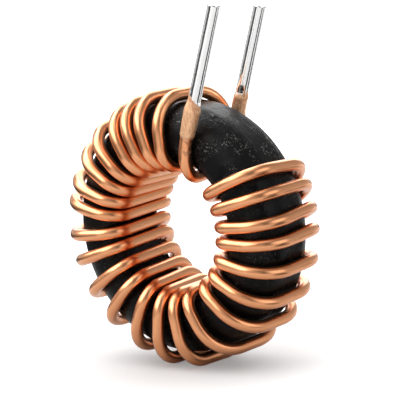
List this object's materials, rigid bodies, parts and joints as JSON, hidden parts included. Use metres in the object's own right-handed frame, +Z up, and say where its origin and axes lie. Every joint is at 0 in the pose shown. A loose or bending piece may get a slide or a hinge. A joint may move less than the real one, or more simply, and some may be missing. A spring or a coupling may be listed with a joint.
{
  "type": "toroidal inductor",
  "caption": "Black coated powder ring wound with heavy enamelled copper wire, its tinned ends standing up side by side as leads.",
  "frame": {"origin": "centre of the ring, on its axis and midway between its faces", "axes": "+Y along the ring's axis towards the rear face, +Z up towards the leads, +X to the right seen from the front"},
  "size_m": [0.0365, 0.0147, 0.0479],
  "materials": {
    "core_coat": "semi-gloss black coat, slightly rough, with light wear on the edges",
    "copper_wire": "glossy clear enamel over copper; the ends scraped to matt copper and then coated with bright solder"
  },
  "bodies": {
    "root": {"core": "core_coat", "winding": "copper_wire"}
  },
  "joints": []
}
